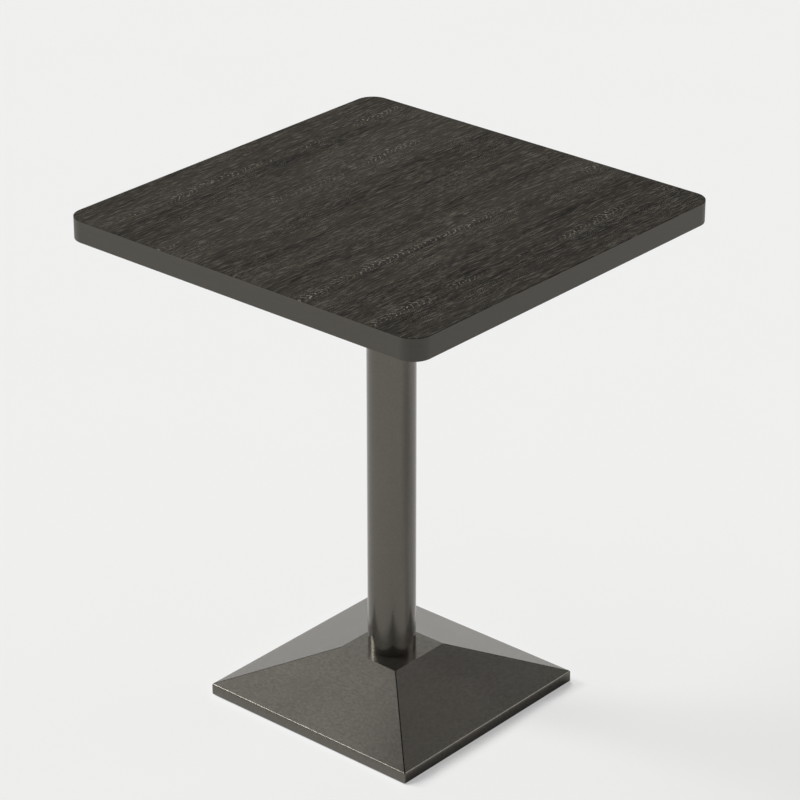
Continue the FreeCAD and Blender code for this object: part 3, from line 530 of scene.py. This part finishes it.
def make_band(finish):
    """The edging round the board, its lower edge rounded."""
    low, high = box_mm("edge_band")
    half, rounded, trimmed, thick = high[0], 1.0, 0.15, 3.0
    section = [(half - thick, low[2])]
    section += arc((half - rounded, low[2] + rounded), rounded, -90, 0, 8)
    section += arc((half - trimmed, high[2] - trimmed), trimmed, 0, 90, 2)
    section += [(half - thick, high[2])]
    loops = [square_loop(reach, TOP_CORNER - (half - reach), height) for reach, height in section]
    even_shading(new_piece("edging", skin(loops, closed=True), finish, "table", "edge_band"))


def make_column(finish):
    """The column: a drawn tube, its cut ends just broken."""
    low, high = box_mm("column_tube")
    outside, sawn, broken = high[0], 0.125, 0.5
    section = arc((outside - sawn, low[2] + sawn), sawn, -90, 0, 2)
    section += arc((outside - broken, high[2] - broken), broken, 0, 90, 4)
    section += [(outside - PLATE, high[2]), (outside - PLATE, low[2])]
    loops = [round_loop(reach, height, 160) for reach, height in section]
    shape = skin(loops, closed=True)
    even_shading(new_piece("column", shape, finish, "table", "column_tube"))


def cover_loop(half, corner, seam, height):
    """A loop of the cover. A seam is how deep the joint between two plates is sunk at each corner."""
    loop = []
    for quarter, (side_x, side_y) in enumerate(((1, 1), (-1, 1), (-1, -1), (1, -1))):
        inner = half - corner
        for k in range(9):
            a = (quarter + k / 8) * math.pi / 2
            from_hip = abs(k - 4)
            sunk = seam * (1.0, 0.8, 0.0, 0.0, 0.0)[from_hip]
            loop.append((
                side_x * inner + corner * math.cos(a), side_y * inner + corner * math.sin(a), height - sunk))
    return loop


def make_cover(finish):
    """The base cover: plates folded at the rim and the flat, and joined along the four hips."""
    low, high = box_mm("base_cover")
    half, flat, rim_top, rounded = high[0], 51.2, 17.6, 2.5
    hip, seam, rod_hole = 1.6, 1.5, 6.75
    slope = math.atan2(high[2] - rim_top, half - flat)
    lean = math.degrees(slope)
    fold = rounded * math.tan((math.pi / 2 - slope) / 2)
    crown = rounded * math.tan(slope / 2)
    rim_edge = arc((half - rounded, rim_top - fold), rounded, 0, 90 - lean, 6)
    flat_edge = arc((flat - crown, high[2] - rounded), rounded, 90 - lean, 90, 4)
    section = [(half, low[2])] + rim_edge + flat_edge
    loops = []
    for reach, height in section:
        on_slope = rim_edge[-2][1] < height < flat_edge[2][1]
        loops.append(cover_loop(reach, hip, seam if on_slope else 0.0, height))
    loops.append([(rod_hole * math.cos(a), rod_hole * math.sin(a), high[2])
                  for a in (math.atan2(y, x) for x, y, _ in loops[-1])])
    cover = new_piece("base_cover_sheet", skin(loops), finish, "table", "base_cover",
                      crease=50)
    sheet = cover.modifiers.new("plate_thickness", "SOLIDIFY")
    sheet.thickness = PLATE * MM
    sheet.offset = -1
    even_shading(cover)


def make_screws(finish):
    """Button head screws, their hexagon sockets towards the floor."""
    low, high = box_mm("spider_screws")
    shank, head, head_height, socket, socket_depth = 3.0, 5.25, 3.3, 4.0, 2.0
    seat = low[2] + head_height
    loops = [round_loop(shank, high[2]), round_loop(shank, seat), round_loop(head, seat)]
    loops += [round_loop(head * math.cos(a), seat - head_height * math.sin(a))
              for a in (math.radians(4 + 9 * k) for k in range(6))]
    loops += [round_loop(3.1, low[2] + 0.02), round_loop(2.6, low[2])]
    loops += [hexagon_loop(socket, low[2] + 0.3), hexagon_loop(socket, low[2] + socket_depth)]
    places = []
    for ring in (128.0, 174.0):
        for arm in range(4):
            a = math.radians(45 + 90 * arm)
            places.append((ring * math.cos(a), ring * math.sin(a)))
    shape = moved(skin(loops, low_cap=True, high_cap=True), places)
    new_piece("button_screws", shape, finish, "table", "spider_screws")


def make_tie_rod(finish):
    """The tie rod, threaded at its two ends."""
    low, high = box_mm("tie_rod")
    radius, chamfer, pitch, cut, lower_thread, upper_thread = high[0], 1.2, 1.75, 1.07, 60, 40
    loops = [round_loop(radius - chamfer, low[2])]
    loops += thread_loops(radius, pitch, cut, low[2] + chamfer, low[2] + lower_thread)
    loops += thread_loops(radius, pitch, cut, high[2] - upper_thread, high[2] - chamfer)
    loops += [round_loop(radius - chamfer, high[2])]
    shape = skin(loops, low_cap=True, high_cap=True)
    new_piece("threaded_tie_rod", shape, finish, "table", "tie_rod", crease=60)


def make_foot(number, plastic, steel):
    """A levelling foot: a moulded pad, and a stud with a hexagon for the spanner and a real thread."""
    low, high = box_mm(f"foot_pad_{number}")
    middle = ((low[0] + high[0]) / 2, (low[1] + high[1]) / 2)
    outside = (high[0] - low[0]) / 2
    # from below: a sunk middle and a groove in the face, the round edge, the cone, and the stud's pocket
    section = [(0.0, 0.5), (6.0, 0.5), (6.3, 0.0), (9.0, 0.0), (9.3, 0.5), (12.0, 0.5), (12.3, 0.0)]
    section += arc((outside - 0.8, 0.8), 0.8, -90, 0, 5)
    section += arc((outside - 0.6, 3.4), 0.6, 0, 75, 4)
    section += arc((11.4, high[2] - 0.6), 0.6, 75, 90, 2) + [(4.4, high[2]), (4.4, 3.95), (6.25, 3.95)]
    section += [(6.25, 1.45), (0.0, 1.45)]
    loops = [round_loop(reach, height, 72) for reach, height in section]
    shape = moved(skin(loops), [middle])
    new_piece(f"moulded_foot_{number}", shape, plastic, f"foot_{number}",
              f"foot_pad_{number}")
    low, high = box_mm(f"foot_stud_{number}")
    # the disc held in the pad, the neck, the collar for the spanner, and the thread
    collar = [hexagon_loop(13.0, 7.3), hexagon_loop(13.0, 11.0)]
    loops = [round_loop(5.9, 1.5), round_loop(6.2, 1.8), round_loop(6.2, 3.6),
             round_loop(5.9, 3.9), round_loop(4.0, 3.9), round_loop(4.0, 6.9),
             round_loop(6.2, 6.9), *collar, round_loop(6.2, 11.4), round_loop(4.0, 11.4)]
    loops += thread_loops(4.0, 1.25, 0.77, 11.6, high[2] - 1.0) + [round_loop(3.0, high[2])]
    shape = moved(skin(loops, low_cap=True, high_cap=True), [middle])
    new_piece(f"levelling_stud_{number}", shape, steel, f"stud_{number}", f"foot_stud_{number}")


def soften(node, finish, radius):
    """A CAD piece with its own finish, its hard edges rounded as casting or plating leaves them."""
    dress(node, finish)
    edge = node.modifiers.new("soft_edges", "BEVEL")
    edge.width = radius * MM
    edge.segments = 2
    edge.limit_method = "ANGLE"
    edge.angle_limit = math.radians(35)
    even_shading(node)


# ---------------------------------------------------------------- stage
def add_floor():
    """Paper far wider than any view of the table."""
    mesh = bpy.data.meshes.new("floor")
    work = bmesh.new()
    bmesh.ops.create_grid(work, x_segments=1, y_segments=1, size=100)
    work.to_mesh(mesh)
    work.free()
    floor = bpy.data.objects.new("floor", mesh)
    bpy.context.scene.collection.objects.link(floor)
    floor.data.materials.append(floor_paper())


def add_camera():
    """A long lens, from the front right and above."""
    azimuth, elevation = math.radians(40.9525), math.radians(25.7273)
    aim = Vector((0.0087, 0.0075, 0.4557))
    distance = 4.379
    level = math.cos(elevation)
    back = Vector((math.sin(azimuth) * level, -math.cos(azimuth) * level, math.sin(elevation)))
    data = bpy.data.cameras.new("camera")
    data.lens = 144.5
    data.sensor_width = 36.0
    data.clip_end = 500.0
    camera = bpy.data.objects.new("camera", data)
    bpy.context.scene.collection.objects.link(camera)
    camera.location = aim + back * distance
    camera.rotation_euler = (-back).to_track_quat("-Z", "Y").to_euler()
    bpy.context.scene.camera = camera


def add_key():
    """One large soft light, high to the left of the camera's view."""
    data = bpy.data.lights.new("key", "SUN")
    data.energy = 2.1
    data.angle = math.radians(20)
    lamp = bpy.data.objects.new("key", data)
    bpy.context.scene.collection.objects.link(lamp)
    height = math.radians(37)
    towards = Vector((*KEY_SIDE, math.tan(height)))
    lamp.rotation_euler = towards.to_track_quat("Z", "Y").to_euler()


def add_world():
    """A white tent round the table: dimmer behind the camera, brighter low behind the table and high on the
    left, with a narrow bright panel well up on the right.
    """
    world = bpy.data.worlds.new("studio")
    bpy.context.scene.world = world
    world.use_nodes = True
    tree = world.node_tree
    tree.nodes.clear()
    look = add(tree, "ShaderNodeTexCoord").outputs["Generated"]
    level = 0.36
    # low behind the table, behind the camera, high on the left, and the panel: the way to the middle of
    # each, the cosine at which it starts, and what it adds
    for towards, start, share in (((-0.76, 0.64, 0.1), 0.5, 0.32), ((0.63, -0.72, 0.3), 0.2, -0.16),
                                  ((-0.66, -0.08, 0.75), 0.5, 0.6), ((0.50, 0.71, 0.49), 0.92, 2.2)):
        facing = add(tree, "ShaderNodeVectorMath", {0: look, 1: towards}, operation="DOT_PRODUCT")
        lobe = add(tree, "ShaderNodeMapRange", {
            "Value": facing.outputs["Value"], "From Min": start, "From Max": 1.0, "To Max": share},
            interpolation_type="SMOOTHSTEP")
        level = add(tree, "ShaderNodeMath", {0: lobe.outputs["Result"], 1: level},
                    operation="ADD").outputs["Value"]
    tent = add(tree, "ShaderNodeBackground", {"Color": (1.0, 0.995, 0.985, 1.0), "Strength": level})
    add(tree, "ShaderNodeOutputWorld", {"Surface": tent.outputs["Background"]})


add_camera()
add_floor()
add_world()
add_key()
bpy.context.scene.view_settings.view_transform = "Standard"

plate_coat = powder_coat("powder_coat_on_plate", along=5.5, up=1.1, depth=0.12, gloss=0.25, cloud_and_painted_sheen_amount=0.9)
tube_coat = powder_coat("powder_coat_on_tube", along=3.0, up=3.0, depth=0.04, gloss=0.18, cloud_and_painted_sheen_amount=0.35)
iron, zinc = cast_iron(), zinc_plate()
rubber = moulded("black_rubber", "#161616", "#2b2a29", 1.1, 0.7, 0.9, 1.52)
nylon = moulded("black_moulded_nylon", "#1a1a1a", "#2a2928", 0.9, 0.42, 0.6, 1.53)

make_laminate(oak_laminate())
make_band(edge_banding())
make_column(tube_coat)
make_cover(plate_coat)
make_screws(zinc)
make_tie_rod(zinc)
for foot in range(1, 5):
    make_foot(foot, nylon, zinc)

dress(nodes["top_core"], chipboard())
dress(nodes["top_backer"], balancing_sheet())
dress(nodes["cover_pads"], rubber)
dress(nodes["insert_nuts"], zinc)
dress(nodes["column_foot_disc"], zinc)
soften(nodes["top_spider"], iron, 1.2)
soften(nodes["ballast_casting"], iron, 1.5)
for name in ("upper_nut", "lower_nut", "upper_washer", "lower_washer", "lower_spring_washer",
             "spider_washers"):
    soften(nodes[name], zinc, 0.25)
